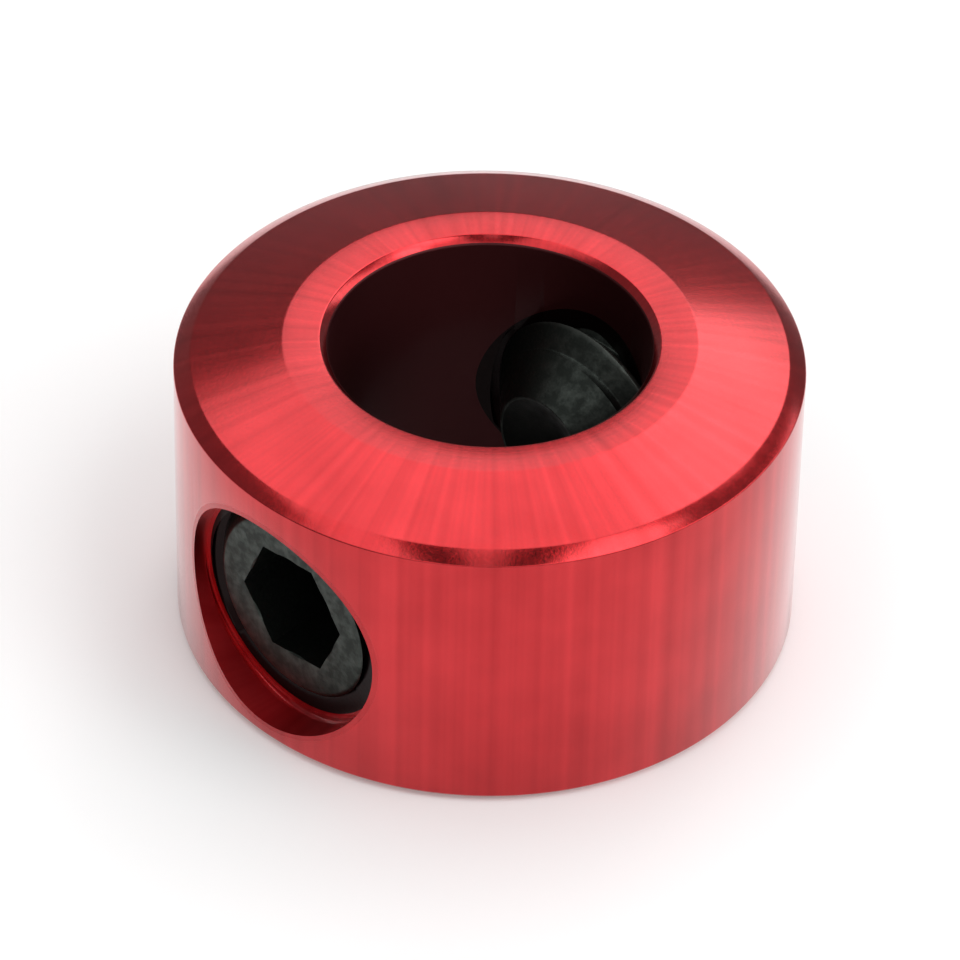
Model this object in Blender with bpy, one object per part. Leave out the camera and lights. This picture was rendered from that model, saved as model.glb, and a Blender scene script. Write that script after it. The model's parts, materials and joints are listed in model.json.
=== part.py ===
"""Set-screw shaft collar for a 4 mm shaft: a turned aluminium ring and two cup-point set screws.

Frame: metres, +Z up along the bore, origin at the centre of the flat bottom face.
The set screws lie on the Y axis, one in front (-Y) and one at the rear (+Y), in one cross hole
that is tapped right through both walls and relieved at each mouth. Their threads are real
right-hand helices, in mesh with the tapped hole, so a screw that turns by 360 degrees travels
by one pitch.
"""

import math

import bmesh
import bpy
from mathutils import Matrix

MM = 0.001

# Collar body, turned from bar
OUTER_DIAMETER = 8.0 * MM
BORE_DIAMETER = 4.1 * MM
WIDTH = 4.25 * MM
LAND_DIAMETER = 5.25 * MM
SHOULDER_DIAMETER = 7.58 * MM
SHOULDER_HEIGHT = 3.99 * MM
RIM_HEIGHT = 3.88 * MM
BORE_CHAMFER = 0.1 * MM
BOTTOM_CHAMFER = 0.1 * MM
BODY_SEGMENTS = 96

# Thread, M3 coarse, with a small running clearance between the hole and the screw
PITCH = 0.5 * MM
SCREW_CREST_RADIUS = 1.48 * MM
SCREW_ROOT_RADIUS = 1.19 * MM
THREAD_CLEARANCE = 0.04 * MM
CREST_FLAT = PITCH / 8
FLANK_ANGLE = math.radians(30)
THREAD_SEGMENTS = 24
# How far the crest on the upper side lies from the bore's axis
TAP_OFFSET = 0.22 * MM

# Cross hole
HOLE_HEIGHT = 1.88 * MM
MOUTH_RADIUS = 1.6 * MM
MOUTH_FLOOR = 3.44 * MM
MOUTH_FLOOR_DROP = 0.1 * MM

# Set screws, M3 x 2.5, hexagon socket and cup point
SCREW_LENGTH = 2.5 * MM
FRONT_FACE_DISTANCE = 3.5 * MM
REAR_FACE_DISTANCE = 3.5 * MM
HEAD_FACE_RADIUS = 1.24 * MM
SOCKET_ACROSS_FLATS = 1.5 * MM
SOCKET_DEPTH = 1.2 * MM
SOCKET_TIP_DEPTH = 0.25 * MM
SOCKET_TURN = math.radians(-6)
CUP_RADIUS = 0.7 * MM
CUP_LAND = 0.04 * MM
CUP_DEPTH = 0.35 * MM
POINT_LENGTH = 0.55 * MM
POINT_HALF_ANGLE = math.radians(45)
POINT_GAP = 0.02 * MM
POINT_SEGMENTS = 32

OVERSHOOT = 1.0 * MM
MERGE_DISTANCE = 1e-8


def clear_scene():
    for item in list(bpy.data.objects):
        bpy.data.objects.remove(item, do_unlink=True)


def metal(name, colour, roughness):
    material = bpy.data.materials.new(name)
    material.use_nodes = True
    shader = material.node_tree.nodes["Principled BSDF"]
    shader.inputs["Base Color"].default_value = (*colour, 1.0)
    shader.inputs["Metallic"].default_value = 1.0
    shader.inputs["Roughness"].default_value = roughness
    material.diffuse_color = (*colour, 1.0)
    return material


def add_object(name, form, material=None):
    """Turn a bmesh into a named object, with smooth shading across shallow angles."""
    bmesh.ops.recalc_face_normals(form, faces=form.faces)
    mesh = bpy.data.meshes.new(name)
    form.to_mesh(mesh)
    form.free()
    mesh.shade_smooth()
    mesh.set_sharp_from_angle(angle=math.radians(30))
    item = bpy.data.objects.new(name, mesh)
    bpy.context.collection.objects.link(item)
    if material:
        mesh.materials.append(material)
    return item


def add_cutter(name, form):
    """A shape that only cuts others: the build leaves it out."""
    item = add_object(name, form)
    item.hide_render = True
    item.display_type = "WIRE"
    return item


def cut(item, tool, operation="DIFFERENCE"):
    modifier = item.modifiers.new(tool.name, "BOOLEAN")
    modifier.operation = operation
    modifier.object = tool
    modifier.solver = "EXACT"


def turned(profile, segments):
    """Spin a closed outline of (radius, height) points once round the Z axis."""
    form = bmesh.new()
    corners = [form.verts.new((radius, 0.0, height)) for radius, height in profile]
    edges = [form.edges.new((corners[i - 1], corners[i])) for i in range(len(corners))]
    bmesh.ops.spin(
        form, geom=corners + edges, axis=(0, 0, 1), cent=(0, 0, 0),
        steps=segments, angle=math.tau, use_merge=True,
    )
    bmesh.ops.remove_doubles(form, verts=form.verts, dist=MERGE_DISTANCE)
    on_axis = [edge for edge in form.edges if len(edge.link_faces) == 0]
    bmesh.ops.delete(form, geom=on_axis, context="EDGES")
    return form


def threaded_rod(crest_radius, root_radius, start, end):
    """A solid right-hand thread about Z, cut square at both ends.

    The middle of a crest crosses the plane z = 0 on the -Y side.
    """
    flank = (crest_radius - root_radius) * math.tan(FLANK_ANGLE)
    rib = [
        (crest_radius, -CREST_FLAT / 2),
        (crest_radius, CREST_FLAT / 2),
        (root_radius, CREST_FLAT / 2 + flank),
        (root_radius, PITCH - CREST_FLAT / 2 - flank),
    ]
    first = math.floor(start / PITCH * THREAD_SEGMENTS) - 2 * THREAD_SEGMENTS
    last = math.ceil(end / PITCH * THREAD_SEGMENTS) + 2 * THREAD_SEGMENTS
    form = bmesh.new()
    strands = {}
    for step in range(first, last + 1):
        angle = math.tau * step / THREAD_SEGMENTS
        lift = PITCH * step / THREAD_SEGMENTS
        strands[step] = [
            form.verts.new((radius * math.sin(angle), -radius * math.cos(angle), lift + along))
            for radius, along in rib
        ]
    for step in range(first, last - THREAD_SEGMENTS):
        near = strands[step] + [strands[step + THREAD_SEGMENTS][0]]
        far = strands[step + 1] + [strands[step + 1 + THREAD_SEGMENTS][0]]
        for i in range(len(rib)):
            form.faces.new((near[i], far[i], far[i + 1], near[i + 1]))
    for height, normal in ((start, -1), (end, 1)):
        bmesh.ops.bisect_plane(
            form, geom=form.verts[:] + form.edges[:] + form.faces[:], dist=MERGE_DISTANCE,
            plane_co=(0, 0, height), plane_no=(0, 0, normal), clear_outer=True,
        )
    loose = [vertex for vertex in form.verts if not vertex.link_faces]
    bmesh.ops.delete(form, geom=loose, context="VERTS")
    bmesh.ops.holes_fill(form, edges=form.edges, sides=0)
    return form


def inward_pose(side, distance, turn=0.0):
    """Place a local +Z axis so that it points at the bore's axis from one side.

    side is -1 for the front and +1 for the rear, distance is how far the local origin lies
    from the bore's axis, and turn is the angle about the local axis.
    """
    height = Matrix.Translation((0, 0, HOLE_HEIGHT))
    swing = Matrix.Rotation(math.pi if side > 0 else 0.0, 4, "Z")
    lay_down = Matrix.Rotation(-math.pi / 2, 4, "X")
    back_off = Matrix.Translation((0, 0, -distance))
    return height @ swing @ lay_down @ back_off @ Matrix.Rotation(turn, 4, "Z")


def build_collar(material):
    outer = OUTER_DIAMETER / 2
    bore = BORE_DIAMETER / 2
    profile = [
        (bore + BOTTOM_CHAMFER, 0.0),
        (outer - BOTTOM_CHAMFER, 0.0),
        (outer, BOTTOM_CHAMFER),
        (outer, RIM_HEIGHT),
        (SHOULDER_DIAMETER / 2, SHOULDER_HEIGHT),
        (LAND_DIAMETER / 2, WIDTH),
        (bore + BORE_CHAMFER, WIDTH),
        (bore, WIDTH - BORE_CHAMFER),
        (bore, BOTTOM_CHAMFER),
    ]
    collar = add_object("collar_body", turned(profile, BODY_SEGMENTS), material)

    reach = outer + OVERSHOOT
    tap = add_cutter("tapped_cross_hole", threaded_rod(
        SCREW_CREST_RADIUS + THREAD_CLEARANCE, SCREW_ROOT_RADIUS + THREAD_CLEARANCE, -reach, reach,
    ))
    tap.matrix_world = inward_pose(-1, -TAP_OFFSET)
    cut(collar, tap)

    floor = reach - MOUTH_FLOOR
    for name, side in (("front_mouth", -1), ("rear_mouth", 1)):
        mouth = add_cutter(name, turned([
            (0.0, 0.0),
            (MOUTH_RADIUS, 0.0),
            (MOUTH_RADIUS, floor),
            (0.0, floor + MOUTH_FLOOR_DROP),
        ], THREAD_SEGMENTS * 2))
        mouth.matrix_world = inward_pose(side, reach)
        cut(collar, mouth)
    return collar


def build_screw(name, side, distance, material, point_material):
    """One set screw: its threaded shank with the socket, and its cup point."""
    turn = math.tau * (side * TAP_OFFSET - distance) / PITCH
    pose = inward_pose(side, distance, turn)
    shank_end = SCREW_LENGTH - POINT_LENGTH
    slope = math.tan(POINT_HALF_ANGLE)
    cone_radius = CUP_RADIUS + POINT_LENGTH * slope

    shank = add_object(
        name + "_set_screw",
        threaded_rod(SCREW_CREST_RADIUS, SCREW_ROOT_RADIUS, -OVERSHOOT / 2, SCREW_LENGTH), material,
    )
    shank.matrix_world = pose
    clear = SCREW_CREST_RADIUS + OVERSHOOT / 2
    envelope = add_cutter(name + "_envelope", turned([
        (0.0, 0.0),
        (HEAD_FACE_RADIUS, 0.0),
        (clear, clear - HEAD_FACE_RADIUS),
        (clear, shank_end - (clear - cone_radius) / slope),
        (cone_radius, shank_end),
        (0.0, shank_end),
    ], THREAD_SEGMENTS * 2))
    envelope.matrix_world = pose
    cut(shank, envelope, "INTERSECT")

    corner = SOCKET_ACROSS_FLATS / math.sqrt(3)
    socket = turned([
        (0.0, -OVERSHOOT),
        (corner, -OVERSHOOT),
        (corner, SOCKET_DEPTH),
        (0.0, SOCKET_DEPTH + SOCKET_TIP_DEPTH),
    ], 6)
    hexagon = add_cutter(name + "_socket", socket)
    hexagon.matrix_world = inward_pose(side, distance, SOCKET_TURN)
    cut(shank, hexagon)

    base = shank_end + POINT_GAP
    point = add_object(name + "_cup_point", turned([
        (0.0, base),
        (SCREW_ROOT_RADIUS, base),
        (SCREW_ROOT_RADIUS, SCREW_LENGTH - (SCREW_ROOT_RADIUS - CUP_RADIUS) / slope),
        (CUP_RADIUS, SCREW_LENGTH),
        (CUP_RADIUS - CUP_LAND, SCREW_LENGTH),
        (0.0, SCREW_LENGTH - CUP_DEPTH),
    ], POINT_SEGMENTS), point_material)
    point.matrix_world = pose
    return shank, point


def main():
    clear_scene()
    anodised = metal("red_anodised_aluminium", (0.56, 0.035, 0.045), 0.3)
    blackened = metal("black_oxide_steel", (0.035, 0.037, 0.035), 0.45)
    worn = metal("black_oxide_point", (0.06, 0.062, 0.06), 0.4)
    build_collar(anodised)
    build_screw("front", -1, FRONT_FACE_DISTANCE, blackened, worn)
    build_screw("rear", 1, REAR_FACE_DISTANCE, blackened, worn)


main()
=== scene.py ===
"""Looks of a set-screw shaft collar: a red anodised aluminium ring and its two black set screws.

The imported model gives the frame: metres, +Z up along the bore, the bottom face on Z = 0, the set
screws along Y. The ring and both screws are modelled again here at a finer resolution, each in
the place of its own solids, with their threads in mesh, and dressed in procedural finishes.
"""

import json
import logging
import math
from collections.abc import Callable
from dataclasses import dataclass
from enum import Enum
from itertools import pairwise

import bmesh
import bpy
from mathutils import Matrix, Vector

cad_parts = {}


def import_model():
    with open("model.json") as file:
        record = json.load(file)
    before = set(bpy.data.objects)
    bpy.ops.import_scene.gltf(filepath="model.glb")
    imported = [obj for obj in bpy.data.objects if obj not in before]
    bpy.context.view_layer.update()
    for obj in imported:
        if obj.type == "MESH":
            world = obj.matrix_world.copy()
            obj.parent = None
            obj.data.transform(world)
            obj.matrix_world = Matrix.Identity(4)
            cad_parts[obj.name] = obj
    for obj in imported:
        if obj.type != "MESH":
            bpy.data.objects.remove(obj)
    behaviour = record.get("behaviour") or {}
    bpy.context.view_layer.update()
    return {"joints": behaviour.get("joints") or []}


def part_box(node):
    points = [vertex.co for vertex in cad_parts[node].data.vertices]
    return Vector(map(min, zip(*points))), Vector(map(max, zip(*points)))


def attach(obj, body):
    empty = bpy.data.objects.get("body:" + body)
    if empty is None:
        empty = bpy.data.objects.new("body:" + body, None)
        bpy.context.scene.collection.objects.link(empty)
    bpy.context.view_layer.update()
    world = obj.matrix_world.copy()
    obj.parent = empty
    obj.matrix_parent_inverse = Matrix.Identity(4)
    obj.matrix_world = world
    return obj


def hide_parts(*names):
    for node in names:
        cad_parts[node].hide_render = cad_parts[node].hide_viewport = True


LOG = logging.getLogger("shaft_collar")

MM = 0.001
MERGE_DISTANCE = 0.0001 * MM
OVERSHOOT = 1.0 * MM
# Edges shallower than this are shaded smooth
SMOOTH_ANGLE = math.radians(32)

Outline = list[tuple[float, float]]


class Side(Enum):
    """The wall of the ring that a set screw sits in, as the sign of its Y."""

    FRONT = -1
    REAR = 1


class Cut(Enum):
    """What one solid does to another."""

    REMOVE = "DIFFERENCE"
    KEEP_INSIDE = "INTERSECT"


# Modelling


def activate(piece: bpy.types.Object) -> None:
    """Make a piece the only one selected, and the active one.

    Args:
        piece: The piece.
    """
    bpy.ops.object.select_all(action="DESELECT")
    piece.select_set(True)
    bpy.context.view_layer.objects.active = piece


def settle(piece: bpy.types.Object) -> None:
    """Put a piece's place into its mesh, so that its object sits at the origin."""
    activate(piece)
    bpy.ops.object.transform_apply(location=True, rotation=True, scale=True)


def close_form() -> None:
    """In edit mode, merge doubled corners and turn every face outwards."""
    bpy.ops.mesh.select_all(action="SELECT")
    bpy.ops.mesh.remove_doubles(threshold=MERGE_DISTANCE)
    bpy.ops.mesh.normals_make_consistent(inside=False)


def choose_edges(piece: bpy.types.Object, test: Callable[[bmesh.types.BMEdge], bool]) -> None:
    """In edit mode, select the edges that pass a test, and nothing else.

    Args:
        piece: The object in edit mode.
        test: Says whether an edge is wanted.
    """
    bpy.ops.mesh.select_mode(type="EDGE")
    bpy.ops.mesh.select_all(action="DESELECT")
    form = bmesh.from_edit_mesh(piece.data)
    for edge in form.edges:
        edge.select = test(edge)
    form.select_flush_mode()
    bmesh.update_edit_mesh(piece.data)


def draw_outline(name: str, outline: Outline) -> bpy.types.Object:
    """Draw an outline in the XZ plane by extruding one corner along it.

    Args:
        name: The new object's name.
        outline: The corners, as (distance from the Z axis, height).

    Returns:
        The object, still in edit mode.
    """
    radius, height = outline[0]
    bpy.ops.object.select_all(action="DESELECT")
    bpy.ops.mesh.primitive_plane_add(size=MM, location=(radius, 0.0, height))
    piece = bpy.context.active_object
    piece.name = name
    settle(piece)
    bpy.ops.object.mode_set(mode="EDIT")
    bpy.ops.mesh.select_mode(type="VERT")
    bpy.ops.mesh.select_all(action="SELECT")
    bpy.ops.mesh.merge(type="CENTER")
    for (here, low), (there, high) in pairwise(outline):
        bpy.ops.mesh.extrude_vertices_move(
            TRANSFORM_OT_translate={"value": (there - here, 0.0, high - low)}
        )
    return piece


def turn(name: str, outline: Outline, steps: int) -> bpy.types.Object:
    """Turn an outline once round the Z axis, as on a lathe.

    Args:
        name: The new object's name.
        outline: Corners from axis to axis, or back to the first one for a ring.
        steps: How many facets the full turn has.

    Returns:
        The closed solid.
    """
    piece = draw_outline(name, outline)
    bpy.ops.mesh.select_all(action="SELECT")
    bpy.ops.mesh.spin(steps=steps, angle=math.tau, center=(0, 0, 0), axis=(0, 0, 1))
    close_form()
    bpy.ops.object.mode_set(mode="OBJECT")
    return piece


def break_edges(piece: bpy.types.Object, corners: Outline, width: float) -> None:
    """Round the circular edges of a turned piece.

    Args:
        piece: The turned piece.
        corners: Where the edges are, as (distance from the Z axis, height).
        width: The width that the rounding takes off each face.
    """

    def on_corner(edge: bmesh.types.BMEdge) -> bool:
        """Say whether both ends of an edge lie on the same corner's circle."""
        ends = [(math.hypot(end.co.x, end.co.y), end.co.z) for end in edge.verts]
        return any(
            all(math.dist(end, corner) < 10 * MERGE_DISTANCE for end in ends) for corner in corners
        )

    activate(piece)
    bpy.ops.object.mode_set(mode="EDIT")
    choose_edges(piece, on_corner)
    bpy.ops.mesh.bevel(offset=width, segments=3, profile=0.5, affect="EDGES")
    bpy.ops.object.mode_set(mode="OBJECT")


def carve(piece: bpy.types.Object, tool: bpy.types.Object, cut: Cut = Cut.REMOVE) -> None:
    """Cut a piece with a tool, and throw the tool away.

    Args:
        piece: The piece that is cut.
        tool: The closed solid that cuts it.
        cut: Whether the tool's space is removed or is all that is kept.

    Raises:
        RuntimeError: The tool left the piece as it was, or took all of it away.
    """
    faces_before = len(piece.data.polygons)
    modifier = piece.modifiers.new(tool.name, "BOOLEAN")
    modifier.operation = cut.value
    modifier.object = tool
    modifier.solver = "EXACT"
    activate(piece)
    bpy.ops.object.modifier_apply(modifier=modifier.name)
    if len(piece.data.polygons) in (0, faces_before):
        raise RuntimeError(f"{tool.name} cut nothing from {piece.name}, or all of it")
    bpy.data.objects.remove(tool, do_unlink=True)


def smooth(piece: bpy.types.Object) -> None:
    """Shade a piece smooth across its shallow edges, and leave its corners crisp."""
    activate(piece)
    bpy.ops.object.shade_smooth_by_angle(angle=SMOOTH_ANGLE)


@dataclass(frozen=True)
class Thread:
    """A right-hand 60 degree thread.

    A crest's middle crosses the start of the thread's axis on its -Y side.
    """

    pitch: float = 0.5 * MM
    crest_radius: float = 1.48 * MM
    root_radius: float = 1.19 * MM
    flank_angle: float = math.radians(30)
    # The flat on a crest, as a share of the pitch
    crest_flat: float = 1 / 8
    rounding: float = 0.014 * MM
    # Edges sharper than this are rounded
    sharp_angle: float = math.radians(40)
    # Turns wound past each end, which the square cuts take off again
    spare_turns: int = 2
    steps: int = 72

    def grown(self, clearance: float) -> "Thread":
        """Give the same thread with its flanks and crests moved out by a clearance."""
        return Thread(
            crest_radius=self.crest_radius + clearance, root_radius=self.root_radius + clearance
        )

    def rod(self, name: str, start: float, end: float) -> bpy.types.Object:
        """Model a threaded rod along Z, cut square at both ends.

        Args:
            name: The new object's name.
            start: The height of its lower end.
            end: The height of its upper end.

        Returns:
            The closed solid.
        """
        half_crest = self.pitch * self.crest_flat / 2
        flank = (self.crest_radius - self.root_radius) * math.tan(self.flank_angle)
        first_turn = math.floor(start / self.pitch) - self.spare_turns
        # Three quarters of a turn on, at -Y, the crest stands at whole pitches
        lift = (first_turn + 0.25) * self.pitch
        rib = [
            (self.crest_radius, -half_crest),
            (self.crest_radius, half_crest),
            (self.root_radius, half_crest + flank),
            (self.root_radius, self.pitch - half_crest - flank),
            (self.crest_radius, self.pitch - half_crest),
        ]
        piece = draw_outline(name, [(radius, height + lift) for radius, height in rib])
        bpy.ops.object.mode_set(mode="OBJECT")

        helix = piece.modifiers.new("helix", "SCREW")
        helix.axis = "Z"
        helix.angle = math.tau
        helix.screw_offset = self.pitch
        helix.iterations = math.ceil(end / self.pitch) + self.spare_turns - first_turn
        helix.steps = helix.render_steps = self.steps
        bpy.ops.object.modifier_apply(modifier=helix.name)

        bpy.ops.object.mode_set(mode="EDIT")
        close_form()
        bpy.ops.mesh.select_mode(type="EDGE")
        bpy.ops.mesh.select_all(action="DESELECT")
        bpy.ops.mesh.edges_select_sharp(sharpness=self.sharp_angle)
        bpy.ops.mesh.bevel(offset=self.rounding, segments=2, profile=0.5, affect="EDGES")
        for height, outwards in ((start, -1), (end, 1)):
            bpy.ops.mesh.select_all(action="SELECT")
            bpy.ops.mesh.bisect(
                plane_co=(0, 0, height), plane_no=(0, 0, outwards),
                use_fill=True, clear_outer=True, threshold=MERGE_DISTANCE / 10,
            )
        close_form()
        bpy.ops.object.mode_set(mode="OBJECT")
        return piece


def inward_pose(side: Side, height: float, distance: float, turned: float = 0.0) -> Matrix:
    """Place a local +Z axis so that it points at the bore's axis from one side.

    Args:
        side: The wall that it starts from.
        height: The height of the cross hole.
        distance: How far the local origin lies from the bore's axis.
        turned: The angle about the local axis.

    Returns:
        The placement, in the part's frame.
    """
    swing = Matrix.Rotation(math.pi if side is Side.REAR else 0.0, 4, "Z")
    lay_down = Matrix.Rotation(-math.pi / 2, 4, "X")
    back_off = Matrix.Translation((0, 0, -distance))
    return (
        Matrix.Translation((0, 0, height)) @ swing @ lay_down @ back_off
        @ Matrix.Rotation(turned, 4, "Z")
    )


# Finishes


def linear(colour: str) -> tuple[float, float, float, float]:
    """Turn an sRGB hex colour into the linear colour that a shader takes.

    Args:
        colour: The colour, as #RRGGBB.

    Returns:
        Linear red, green, blue and alpha.
    """

    def channel(value: float) -> float:
        """Turn one sRGB channel, from 0 to 1, into a linear one."""
        return value / 12.92 if value <= 0.04045 else ((value + 0.055) / 1.055) ** 2.4

    red, green, blue = (channel(int(colour[i:i + 2], 16) / 255) for i in (1, 3, 5))
    return red, green, blue, 1.0


def node(
    tree: bpy.types.NodeTree, kind: str, inputs: dict | None = None, **settings: object
) -> bpy.types.Node:
    """Add one node with its settings and links.

    Args:
        tree: The node tree that it goes in.
        kind: The node's type.
        inputs: For each input, by name or number, the value or the socket that feeds it.
        settings: The node's own properties.

    Returns:
        The new node.
    """
    made = tree.nodes.new(kind)
    for name, value in settings.items():
        setattr(made, name, value)
    for name, value in (inputs or {}).items():
        if isinstance(value, bpy.types.NodeSocket):
            tree.links.new(value, made.inputs[name])
        else:
            made.inputs[name].default_value = value
    return made


def new_material(name: str) -> tuple[bpy.types.Material, bpy.types.NodeTree, bpy.types.Node]:
    """Make a material with nothing but its shader.

    Args:
        name: The material's name.

    Returns:
        The material, its node tree and its shader.
    """
    material = bpy.data.materials.new(name)
    material.use_nodes = True
    return material, material.node_tree, material.node_tree.nodes["Principled BSDF"]


@dataclass(frozen=True)
class AnodisedAluminium:
    """Aluminium bar, turned, dyed red and sealed.

    The dye tints the metal's own reflection deep red. The clear oxide on top adds an untinted
    one, which whitens the edges that are seen at a low angle. The lathe's fine rings draw each
    highlight out across them. Painted sheen streaks fan round the bore in the colour, and painted
    shade darkens the bore and the tapped thread.
    """

    name: str = "anodised_aluminium"
    dye: str = "#CC2A30"
    # The darker end of both the random tone and the painted sheen streaks
    deep_dye_and_sheen: str = "#AE161D"
    # Painted shade: the bore's wall is darkened to stand for the shade inside it
    bore_painted_shade: str = "#4E2224"
    # Painted shade: the tapped thread is darkened nearly black to stand for the shadowed gap round
    # the screw
    thread_painted_shade: str = "#1C1010"
    roughness: tuple[float, float] = (0.16, 0.25)
    hole_roughness: float = 0.48
    # How far past the wall of a hole its finish reaches
    hole_margin: float = 0.02 * MM
    anisotropy: float = 0.6
    # A finishing pass feeds about 0.05 mm a turn
    ring_spacing: float = 0.05 * MM
    ring_depth: float = 0.0006 * MM
    grain_size: float = 0.035 * MM
    grain_depth: float = 0.0011 * MM
    cloud_size: float = 1.2 * MM
    # How finely the painted sheen streaks fan round the bore, as the noise's scale on a unit circle
    streaks: float = 22.0
    oxide_share: float = 1.0
    oxide_in_holes: float = 0.25
    oxide_roughness: float = 0.16
    oxide_index: float = 1.35

    def make(self, bore: float, hole: "CrossHole") -> bpy.types.Material:
        """Make the material.

        Args:
            bore: The bore's radius.
            hole: The cross hole.

        Returns:
            The material, duller in the holes, and with painted shade darkening the bore and the
            thread.
        """
        material, tree, shader = new_material(self.name)
        place = node(tree, "ShaderNodeTexCoord").outputs["Object"]
        axes = node(tree, "ShaderNodeSeparateXYZ", {0: place})
        across = node(tree, "ShaderNodeCombineXYZ", {0: axes.outputs["X"], 1: axes.outputs["Y"]})
        radius = node(tree, "ShaderNodeVectorMath", {0: across.outputs[0]}, operation="LENGTH")
        along_tool_path = node(
            tree, "ShaderNodeMath", {0: radius.outputs["Value"], 1: axes.outputs["Z"]},
            operation="ADD",
        )
        rings = node(
            tree, "ShaderNodeTexNoise",
            {"W": along_tool_path.outputs[0], "Scale": 1 / self.ring_spacing, "Detail": 2.0},
            noise_dimensions="1D",
        )
        grain = node(
            tree, "ShaderNodeTexNoise",
            {"Vector": place, "Scale": 1 / self.grain_size, "Detail": 3.0, "Roughness": 0.6},
        )
        cloud = node(
            tree, "ShaderNodeTexNoise",
            {"Vector": place, "Scale": 1 / self.cloud_size, "Detail": 4.0},
        )
        in_bore = node(
            tree, "ShaderNodeMath", {0: radius.outputs["Value"], 1: bore + self.hole_margin},
            operation="LESS_THAN",
        )
        above_hole = node(
            tree, "ShaderNodeMath", {0: axes.outputs["Z"], 1: hole.height}, operation="SUBTRACT"
        )
        round_hole = node(
            tree, "ShaderNodeCombineXYZ", {0: axes.outputs["X"], 2: above_hole.outputs[0]}
        )
        hole_radius = node(
            tree, "ShaderNodeVectorMath", {0: round_hole.outputs[0]}, operation="LENGTH"
        )
        in_thread, in_mouth = (
            node(
                tree, "ShaderNodeMath",
                {0: hole_radius.outputs["Value"], 1: limit + self.hole_margin},
                operation="LESS_THAN",
            )
            for limit in (hole.tapped_radius, hole.mouth_radius + hole.trace_depth)
        )
        inside = node(
            tree, "ShaderNodeMath", {0: in_bore.outputs[0], 1: in_thread.outputs[0]},
            operation="MAXIMUM",
        )
        heading = node(tree, "ShaderNodeVectorMath", {0: across.outputs[0]}, operation="NORMALIZE")
        # Painted sheen: noise round the bore's axis streaks the colour lighter and darker in radial
        # fans, standing in for the turned surface's highlights
        streak = node(
            tree, "ShaderNodeTexNoise",
            {"Vector": heading.outputs[0], "Scale": self.streaks, "Detail": 3.0},
        )
        # Random tone from the cloud, plus the painted sheen streaks
        tone_and_painted_light = node(
            tree, "ShaderNodeMath", {0: cloud.outputs["Fac"], 1: streak.outputs["Fac"]},
            operation="ADD",
        )
        shade = node(
            tree, "ShaderNodeMapRange",
            {"Value": tone_and_painted_light.outputs[0], "From Min": 0.7, "From Max": 1.3},
        )
        # The dye, shifted by random tone and by painted sheen
        dyed_and_sheened = node(
            tree, "ShaderNodeMix",
            {"Factor": shade.outputs[0], 6: linear(self.dye), 7: linear(self.deep_dye_and_sheen)},
            data_type="RGBA",
        )
        # Painted shade: darkens the colour inside the bore
        bore_shaded = node(
            tree, "ShaderNodeMix",
            {"Factor": in_bore.outputs[0], 6: dyed_and_sheened.outputs[2], 7: linear(self.bore_painted_shade)},
            data_type="RGBA",
        )
        # Painted shade: darkens the colour in the tapped thread
        colour = node(
            tree, "ShaderNodeMix",
            {"Factor": in_thread.outputs[0], 6: bore_shaded.outputs[2], 7: linear(self.thread_painted_shade)},
            data_type="RGBA",
        )
        oxide = node(
            tree, "ShaderNodeMapRange",
            {"Value": inside.outputs[0], "To Min": self.oxide_share, "To Max": self.oxide_in_holes},
        )
        turned_rough = node(
            tree, "ShaderNodeMapRange",
            {"Value": grain.outputs["Fac"], "From Min": 0.3, "From Max": 0.7,
             "To Min": self.roughness[0], "To Max": self.roughness[1]},
        )
        in_hole = node(
            tree, "ShaderNodeMath", {0: in_bore.outputs[0], 1: in_mouth.outputs[0]},
            operation="MAXIMUM",
        )
        rough = node(
            tree, "ShaderNodeMix",
            {0: in_hole.outputs[0], 2: turned_rough.outputs[0], 3: self.hole_roughness},
        )
        ringed = node(
            tree, "ShaderNodeBump",
            {"Height": rings.outputs["Fac"], "Distance": self.ring_depth},
        )
        grained = node(
            tree, "ShaderNodeBump",
            {"Height": grain.outputs["Fac"], "Distance": self.grain_depth,
             "Normal": ringed.outputs[0]},
        )
        tangent = node(tree, "ShaderNodeTangent", direction_type="RADIAL", axis="Z")
        shader.inputs["Metallic"].default_value = 1.0
        shader.inputs["Anisotropic"].default_value = self.anisotropy
        shader.inputs["Anisotropic Rotation"].default_value = 0.25
        shader.inputs["Coat Roughness"].default_value = self.oxide_roughness
        shader.inputs["Coat IOR"].default_value = self.oxide_index
        for socket, source in (
            ("Base Color", colour.outputs[2]),
            ("Roughness", rough.outputs[0]),
            ("Coat Weight", oxide.outputs[0]),
            ("Normal", grained.outputs[0]),
            ("Tangent", tangent.outputs[0]),
        ):
            tree.links.new(source, shader.inputs[socket])
        return material


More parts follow.
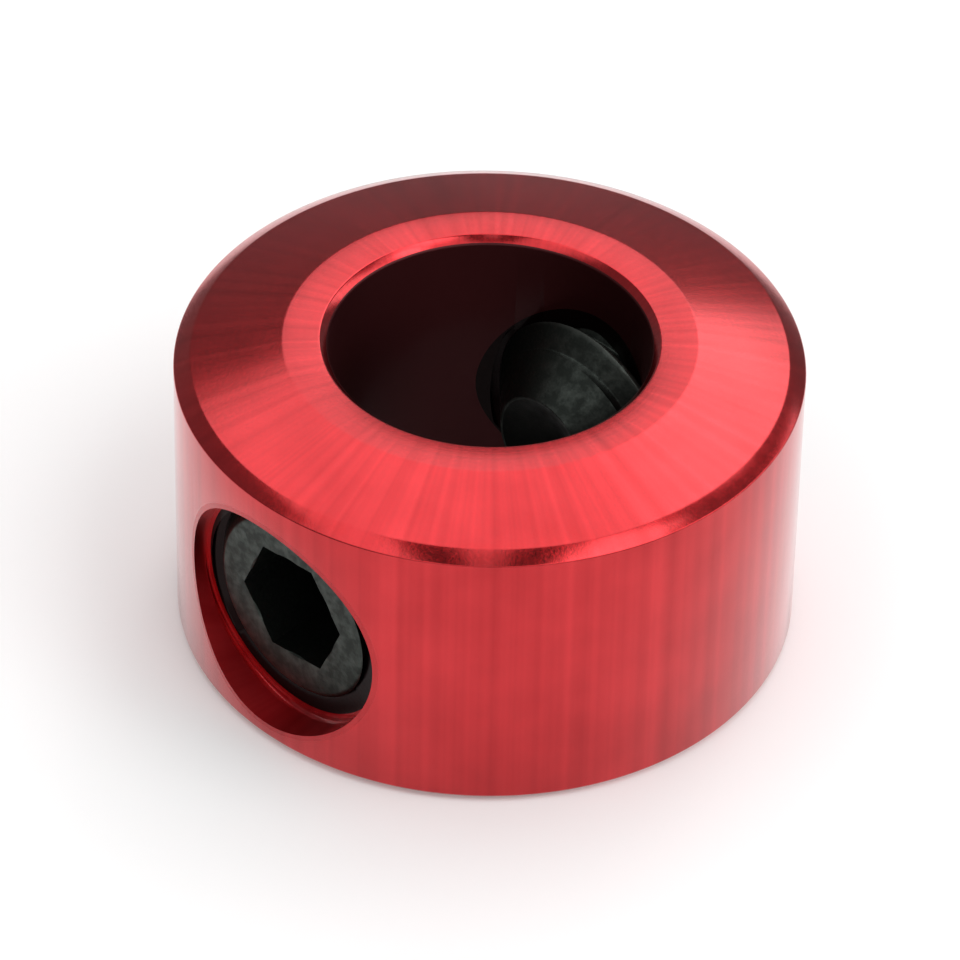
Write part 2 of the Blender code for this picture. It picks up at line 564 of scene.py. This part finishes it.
@dataclass(frozen=True)
class BlackOxideSteel:
    """Hardened alloy steel, blackened in hot salts and lightly oiled.

    The oxide is thin and near black with a faint green, slightly mottled where it took unevenly,
    and it is rubbed to a lighter grey on the thread's crests. Painted shade darkens the cup and
    the socket.
    """

    name: str = "black_oxide_steel"
    oxide: str = "#2F3330"
    pale_oxide: str = "#474C48"
    # Painted shade for the cup and the socket
    recess_painted_shade: str = "#141513"
    rubbed: str = "#5C605C"
    roughness: tuple[float, float] = (0.34, 0.52)
    mottle_size: float = 0.16 * MM
    grain_size: float = 0.03 * MM
    grain_depth: float = 0.0015 * MM
    rub_depth: float = 0.05 * MM

    def make(self, height: float, crest_radius: float, recess: float) -> bpy.types.Material:
        """Make the material.

        Args:
            height: The height of the screws' axis, which runs along Y.
            crest_radius: The distance of the thread's crests from that axis.
            recess: The radius within which the cup and the socket get painted shade.

        Returns:
            The material.
        """
        material, tree, shader = new_material(self.name)
        place = node(tree, "ShaderNodeTexCoord").outputs["Object"]
        from_axis = node(tree, "ShaderNodeMapping", {"Vector": place, "Location": (0, 0, -height)})
        axes = node(tree, "ShaderNodeSeparateXYZ", {0: from_axis.outputs[0]})
        across = node(tree, "ShaderNodeCombineXYZ", {0: axes.outputs["X"], 2: axes.outputs["Z"]})
        radius = node(tree, "ShaderNodeVectorMath", {0: across.outputs[0]}, operation="LENGTH")
        mottle = node(
            tree, "ShaderNodeTexNoise",
            {"Vector": place, "Scale": 1 / self.mottle_size, "Detail": 5.0, "Roughness": 0.6},
        )
        grain = node(
            tree, "ShaderNodeTexNoise",
            {"Vector": place, "Scale": 1 / self.grain_size, "Detail": 2.0},
        )
        patchy = node(
            tree, "ShaderNodeMapRange",
            {"Value": mottle.outputs["Fac"], "From Min": 0.42, "From Max": 0.68},
        )
        oxide = node(
            tree, "ShaderNodeMix",
            {"Factor": patchy.outputs[0], 6: linear(self.oxide), 7: linear(self.pale_oxide)},
            data_type="RGBA",
        )
        on_crest = node(
            tree, "ShaderNodeMapRange",
            {"Value": radius.outputs["Value"], "From Min": crest_radius - self.rub_depth,
             "From Max": crest_radius, "To Max": 0.8},
        )
        # Painted shade: the cup and the socket, within the recess radius, are darkened
        in_recess = node(
            tree, "ShaderNodeMath", {0: radius.outputs["Value"], 1: recess},
            operation="LESS_THAN",
        )
        tone_and_painted_light = node(
            tree, "ShaderNodeMix",
            {"Factor": in_recess.outputs[0], 6: oxide.outputs[2], 7: linear(self.recess_painted_shade)},
            data_type="RGBA",
        )
        colour = node(
            tree, "ShaderNodeMix",
            {"Factor": on_crest.outputs[0], 6: tone_and_painted_light.outputs[2], 7: linear(self.rubbed)},
            data_type="RGBA",
        )
        rough = node(
            tree, "ShaderNodeMapRange",
            {"Value": mottle.outputs["Fac"], "From Min": 0.3, "From Max": 0.7,
             "To Min": self.roughness[1], "To Max": self.roughness[0]},
        )
        grained = node(
            tree, "ShaderNodeBump",
            {"Height": grain.outputs["Fac"], "Distance": self.grain_depth},
        )
        shader.inputs["Metallic"].default_value = 1.0
        for socket, source in (
            ("Base Color", colour.outputs[2]),
            ("Roughness", rough.outputs[0]),
            ("Normal", grained.outputs[0]),
        ):
            tree.links.new(source, shader.inputs[socket])
        return material


# The object's pieces


@dataclass(frozen=True)
class CrossHole:
    """The hole through both walls: tapped, with a plain relief at each mouth."""

    height: float
    thread: Thread
    clearance: float = 0.04 * MM
    # How far the crest on the upper side lies from the bore's axis
    tap_offset: float = 0.22 * MM
    mouth_radius: float = 1.6 * MM
    mouth_floor: float = 3.44 * MM
    mouth_floor_drop: float = 0.1 * MM
    # The tap's crests just marked the wall of the relief
    trace_depth: float = 0.05 * MM
    traces: tuple[float, float] = (3.465 * MM, 3.58 * MM)
    mouth_steps: int = 144

    @property
    def tapped_radius(self) -> float:
        """The largest radius of the hole's thread."""
        return self.thread.crest_radius + self.clearance

    def bore_through(self, ring: bpy.types.Object, outer: float) -> None:
        """Cut the hole, its reliefs and the tap's traces in a ring.

        Args:
            ring: The ring.
            outer: The ring's outer radius.
        """
        reach = outer + OVERSHOOT
        tap = self.thread.grown(self.clearance).rod("tap", -reach, reach)
        tap.matrix_world = inward_pose(Side.FRONT, self.height, -self.tap_offset)
        settle(tap)
        carve(ring, tap)
        floor = reach - self.mouth_floor
        for side in Side:
            mouth = turn("mouth", [
                (0.0, 0.0),
                (self.mouth_radius, 0.0),
                (self.mouth_radius, floor),
                (0.0, floor + self.mouth_floor_drop),
            ], self.mouth_steps)
            mouth.matrix_world = inward_pose(side, self.height, reach)
            settle(mouth)
            carve(ring, mouth)
        marks = self.thread.grown(self.mouth_radius + self.trace_depth - self.thread.crest_radius)
        near, far = self.traces
        for low, high in ((-far, -near), (near, far)):
            mark = marks.rod("tap_mark", low - self.tap_offset, high - self.tap_offset)
            mark.matrix_world = inward_pose(Side.FRONT, self.height, -self.tap_offset)
            settle(mark)
            carve(ring, mark)


@dataclass
class CollarBody:
    """The ring, turned from bar."""

    outer: float
    width: float
    hole: CrossHole
    bore: float = 2.05 * MM
    land: float = 2.625 * MM
    shoulder: float = 3.79 * MM
    shoulder_height: float = 3.99 * MM
    rim_height: float = 3.88 * MM
    chamfer: float = 0.1 * MM
    edge_break: float = 0.016 * MM
    steps: int = 256

    def outline(self) -> Outline:
        """Give the turned section's corners, from the bottom face round to itself again."""
        return [
            (self.bore + self.chamfer, 0.0),
            (self.outer - self.chamfer, 0.0),
            (self.outer, self.chamfer),
            (self.outer, self.rim_height),
            (self.shoulder, self.shoulder_height),
            (self.land, self.width),
            (self.bore + self.chamfer, self.width),
            (self.bore, self.width - self.chamfer),
            (self.bore, self.chamfer),
            (self.bore + self.chamfer, 0.0),
        ]

    def model(self) -> bpy.types.Object:
        """Turn the ring, break its edges and cut its cross hole.

        Returns:
            The ring.
        """
        outline = self.outline()
        ring = turn("collar_ring", outline, self.steps)
        break_edges(ring, outline[:-1], self.edge_break)
        self.hole.bore_through(ring, self.outer)
        smooth(ring)
        return ring

    def dress(self, ring: bpy.types.Object, finish: bpy.types.Material) -> None:
        """Give the ring its finish."""
        ring.data.materials.clear()
        ring.data.materials.append(finish)

    def build(self, finish: bpy.types.Material) -> bpy.types.Object:
        """Make the ring in the place of its solid.

        Args:
            finish: The ring's finish.

        Returns:
            The ring.
        """
        ring = self.model()
        self.dress(ring, finish)
        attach(ring, "collar")
        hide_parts("collar_body")
        LOG.info("collar ring: %d faces", len(ring.data.polygons))
        return ring


@dataclass
class SetScrew:
    """A headless screw with a hexagon socket and a cup point."""

    side: Side
    face_distance: float
    hole: CrossHole
    thread: Thread
    length: float = 2.5 * MM
    face_radius: float = 1.24 * MM
    face_round: float = 0.03 * MM
    socket_across_flats: float = 1.5 * MM
    socket_depth: float = 1.2 * MM
    socket_tip: float = 0.25 * MM
    socket_turn: float = math.radians(24)
    socket_lead: float = 0.77 * MM
    cup_radius: float = 0.74 * MM
    cup_land: float = 0.04 * MM
    cup_depth: float = 0.35 * MM
    point_half_angle: float = math.radians(45)
    steps: int = 96

    def envelope(self, name: str) -> bpy.types.Object:
        """Turn the outer form that the threaded rod is cut back to.

        Args:
            name: The new object's name.

        Returns:
            The closed solid.
        """
        clear = self.thread.crest_radius + OVERSHOOT / 2
        cone = (clear - self.cup_radius) / math.tan(self.point_half_angle)
        form = turn(name, [
            (0.0, 0.0),
            (self.face_radius, 0.0),
            (clear, clear - self.face_radius),
            (clear, self.length - cone),
            (self.cup_radius, self.length),
            (self.cup_radius - self.cup_land, self.length),
            (0.0, self.length - self.cup_depth),
        ], self.steps)
        break_edges(form, [(self.face_radius, 0.0)], self.face_round)
        return form

    def socket(self, name: str) -> bpy.types.Object:
        """Model the hexagon punch, with the cone that the drill left ahead of it.

        Args:
            name: The new object's name.

        Returns:
            The closed solid.
        """
        corner = self.socket_across_flats / math.sqrt(3)
        bpy.ops.object.select_all(action="DESELECT")
        bpy.ops.mesh.primitive_cylinder_add(
            vertices=6, radius=corner, depth=self.socket_depth + OVERSHOOT,
            location=(0, 0, (self.socket_depth - OVERSHOOT) / 2),
        )
        punch = bpy.context.active_object
        punch.name = name
        settle(punch)
        bpy.ops.object.mode_set(mode="EDIT")
        choose_edges(punch, lambda edge: min(end.co.z for end in edge.verts) > 0)
        bpy.ops.mesh.extrude_region_move(
            TRANSFORM_OT_translate={"value": (0, 0, self.socket_tip)}
        )
        bpy.ops.mesh.merge(type="CENTER")
        close_form()
        bpy.ops.object.mode_set(mode="OBJECT")
        return punch

    def lead_in(self, name: str) -> bpy.types.Object:
        """Turn the shallow cone that opens the socket's mouth."""
        return turn(name, [
            (0.0, -OVERSHOOT),
            (self.socket_lead + OVERSHOOT, -OVERSHOOT),
            (0.0, self.socket_lead),
        ], self.steps)

    def model(self) -> bpy.types.Object:
        """Thread the screw, cut its ends and its socket, and screw it into the hole.

        Returns:
            The screw.
        """
        name = f"{self.side.name.lower()}_screw_steel"
        screw = self.thread.rod(name, -OVERSHOOT / 2, self.length + OVERSHOOT / 2)
        carve(screw, self.envelope("envelope"), Cut.KEEP_INSIDE)
        in_mesh = math.tau * (
            self.side.value * self.hole.tap_offset - self.face_distance
        ) / self.thread.pitch
        screw.matrix_world = Matrix.Rotation(in_mesh - self.socket_turn, 4, "Z")
        settle(screw)
        carve(screw, self.socket("punch"))
        carve(screw, self.lead_in("lead_in"))
        screw.matrix_world = inward_pose(
            self.side, self.hole.height, self.face_distance, self.socket_turn
        )
        settle(screw)
        smooth(screw)
        return screw

    def build(self, finish: bpy.types.Material) -> bpy.types.Object:
        """Make the screw in the place of its two solids.

        Args:
            finish: The screw's finish.

        Returns:
            The screw.
        """
        screw = self.model()
        screw.data.materials.clear()
        screw.data.materials.append(finish)
        end = self.side.name.lower()
        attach(screw, f"{end}_screw")
        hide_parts(f"{end}_set_screw", f"{end}_cup_point")
        LOG.info("%s: %d faces", screw.name, len(screw.data.polygons))
        return screw


# The studio


@dataclass(frozen=True)
class CeilingPanel:
    """A bright or dark panel in the studio's ceiling.

    Places are shares of the ceiling's height above the object: across to the camera's right, and
    back away from it. The lean moves a panel's back and front edges as they run to the right.
    """

    across: tuple[float, float]
    back: tuple[float, float]
    level: float
    lean: float = 0.0
    blur: float = 0.12


@dataclass
class Studio:
    """A white floor under a soft ceiling, and the camera."""

    azimuth: float = math.radians(43.7)
    elevation: float = math.radians(39.83)
    distance: float = 80.0 * MM
    target: tuple[float, float] = (-0.0934 * MM, 1.919 * MM)
    roll: float = math.radians(1.204)
    lens: float = 233.67
    floor_size: float = 600.0 * MM
    # The floor lies this far under the bottom face, so that the two never share a plane
    floor_drop: float = 0.002 * MM
    floor_colour: str = "#F4F4F4"
    floor_glow: float = 0.1
    background: str = "#FDFDFD"
    room_level: float = 0.2
    # The least rise that a direction is given, which ends the ceiling near the horizon
    lowest_rise: float = 0.02
    panels: tuple[CeilingPanel, ...] = (
        CeilingPanel(across=(-3.0, 3.0), back=(-4.0, -0.02), level=1.25),
        CeilingPanel(across=(-0.62, 0.85), back=(-0.1, 1.46), level=1.68, lean=0.73, blur=0.06),
        CeilingPanel(across=(0.24, 0.64), back=(0.2, 1.3), level=2.9, lean=0.73, blur=0.2),
        CeilingPanel(across=(0.3, 0.7), back=(-0.6, 0.1), level=3.2, blur=0.1),
        CeilingPanel(across=(0.06, 0.26), back=(-0.9, 0.1), level=0.02, blur=0.02),
        CeilingPanel(across=(-0.26, -0.06), back=(-0.9, 0.1), level=0.02, blur=0.02),
        CeilingPanel(across=(-0.15, 0.15), back=(-1.0, -0.7), level=0.15, blur=0.05),
        CeilingPanel(across=(1.6, 4.0), back=(-1.6, 1.6), level=2.4, blur=0.4),
        CeilingPanel(across=(-6.0, -1.0), back=(-4.0, 3.0), level=0.25, blur=0.5),
        CeilingPanel(across=(0.8, 1.2), back=(-0.75, -0.3), level=4.0, blur=0.1),
    )

    def place_camera(self) -> None:
        """Set the camera up, turned a little about its own line of sight."""
        right = Vector((math.cos(self.azimuth), math.sin(self.azimuth), 0.0))
        level = Vector((-math.sin(self.azimuth), math.cos(self.azimuth), 0.0))
        rise = Vector((0.0, 0.0, 1.0))
        forward = level * math.cos(self.elevation) - rise * math.sin(self.elevation)
        upright = level * math.sin(self.elevation) + rise * math.cos(self.elevation)
        side = right * math.cos(self.roll) + upright * math.sin(self.roll)
        top = upright * math.cos(self.roll) - right * math.sin(self.roll)
        spot = right * self.target[0] + rise * self.target[1] - forward * self.distance
        bpy.ops.object.select_all(action="DESELECT")
        bpy.ops.object.camera_add()
        camera = bpy.context.active_object
        camera.matrix_world = Matrix.LocRotScale(
            spot, Matrix((side, top, -forward)).transposed().to_quaternion(), None
        )
        camera.data.lens = self.lens
        camera.data.clip_start = 5.0 * MM
        camera.data.clip_end = 5.0
        bpy.context.scene.camera = camera

    def lay_floor(self) -> None:
        """Lay the pale floor under the object."""
        bpy.ops.object.select_all(action="DESELECT")
        bpy.ops.mesh.primitive_plane_add(size=self.floor_size, location=(0, 0, -self.floor_drop))
        floor = bpy.context.active_object
        floor.name = "studio_floor"
        material, _, shader = new_material("white_paper")
        shader.inputs["Base Color"].default_value = linear(self.floor_colour)
        shader.inputs["Roughness"].default_value = 0.9
        shader.inputs["Specular IOR Level"].default_value = 0.0
        shader.inputs["Emission Color"].default_value = (1.0, 1.0, 1.0, 1.0)
        shader.inputs["Emission Strength"].default_value = self.floor_glow
        floor.data.materials.append(material)

    def panel_mask(
        self, tree: bpy.types.NodeTree, panel: CeilingPanel,
        across: bpy.types.NodeSocket, back: bpy.types.NodeSocket,
    ) -> bpy.types.NodeSocket:
        """Work out where one panel is.

        Args:
            tree: The world's node tree.
            panel: The panel.
            across: How far right a direction meets the ceiling.
            back: How far back a direction meets the ceiling.

        Returns:
            1 inside the panel and 0 outside, with a soft edge.
        """
        leaned = node(
            tree, "ShaderNodeMath", {0: across, 1: -panel.lean, 2: back}, operation="MULTIPLY_ADD"
        )
        sides = []
        for place, (low, high) in ((across, panel.across), (leaned.outputs[0], panel.back)):
            offset = node(
                tree, "ShaderNodeMath", {0: place, 1: (low + high) / 2}, operation="SUBTRACT"
            )
            gap = node(tree, "ShaderNodeMath", {0: offset.outputs[0]}, operation="ABSOLUTE")
            half = (high - low) / 2
            sides.append(node(
                tree, "ShaderNodeMapRange",
                {"Value": gap.outputs[0], "From Min": half + panel.blur / 2,
                 "From Max": half - panel.blur / 2},
                interpolation_type="SMOOTHSTEP",
            ))
        both = node(
            tree, "ShaderNodeMath", {0: sides[0].outputs[0], 1: sides[1].outputs[0]},
            operation="MULTIPLY",
        )
        return both.outputs[0]

    def hang_ceiling(self) -> None:
        """Light the studio with the panels of its ceiling, round a dim room."""
        world = bpy.data.worlds.new("studio")
        bpy.context.scene.world = world
        world.use_nodes = True
        tree = world.node_tree
        tree.nodes.clear()
        place = node(tree, "ShaderNodeTexCoord").outputs["Generated"]
        faced = node(
            tree, "ShaderNodeVectorRotate", {"Vector": place, "Angle": -self.azimuth},
            rotation_type="Z_AXIS",
        )
        axes = node(tree, "ShaderNodeSeparateXYZ", {0: faced.outputs[0]})
        rise = node(
            tree, "ShaderNodeMath", {0: axes.outputs["Z"], 1: self.lowest_rise},
            operation="MAXIMUM",
        ).outputs[0]
        across, back = (
            node(
                tree, "ShaderNodeMath", {0: axes.outputs[axis], 1: rise}, operation="DIVIDE"
            ).outputs[0]
            for axis in ("X", "Y")
        )
        level: bpy.types.NodeSocket | float = self.room_level
        for panel in self.panels:
            mask = self.panel_mask(tree, panel, across, back)
            level = node(
                tree, "ShaderNodeMix", {0: mask, 2: level, 3: panel.level}
            ).outputs[0]
        light = node(tree, "ShaderNodeBackground", {"Strength": level})
        seen = node(tree, "ShaderNodeBackground", {"Color": linear(self.background)})
        path = node(tree, "ShaderNodeLightPath")
        shown = node(
            tree, "ShaderNodeMixShader",
            {0: path.outputs["Is Camera Ray"], 1: light.outputs[0], 2: seen.outputs[0]},
        )
        light.inputs["Color"].default_value = (1.0, 1.0, 1.0, 1.0)
        node(tree, "ShaderNodeOutputWorld", {"Surface": shown.outputs[0]})

    def build(self) -> None:
        """Set up the floor, the light and the camera, with plain colour handling."""
        bpy.context.scene.view_settings.view_transform = "Standard"
        self.place_camera()
        self.lay_floor()
        self.hang_ceiling()
        LOG.info("studio: %d ceiling panels", len(self.panels))


def main() -> None:
    """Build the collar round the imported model."""
    logging.basicConfig(level=logging.INFO, format="%(name)s: %(message)s")
    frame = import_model()
    Studio().build()

    joints = {joint["name"]: joint for joint in frame["joints"]}
    thread = Thread()
    heads = {
        side: Vector(joints[f"{side.name.lower()}_screw_turn"]["pos_m"]) for side in Side
    }
    hole = CrossHole(height=heads[Side.FRONT].z, thread=thread)
    top_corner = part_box("collar_body")[1]
    body = CollarBody(outer=top_corner.x, width=top_corner.z, hole=hole)
    body.build(AnodisedAluminium().make(body.bore, hole))
    # The radius within which the screws' cup and socket get painted shade
    recess = SetScrew.cup_radius - SetScrew.cup_land
    blackened = BlackOxideSteel().make(hole.height, thread.crest_radius, recess)
    for side, head in heads.items():
        SetScrew(side=side, face_distance=abs(head.y), hole=hole, thread=thread).build(blackened)


if __name__ == "__main__":
    main()
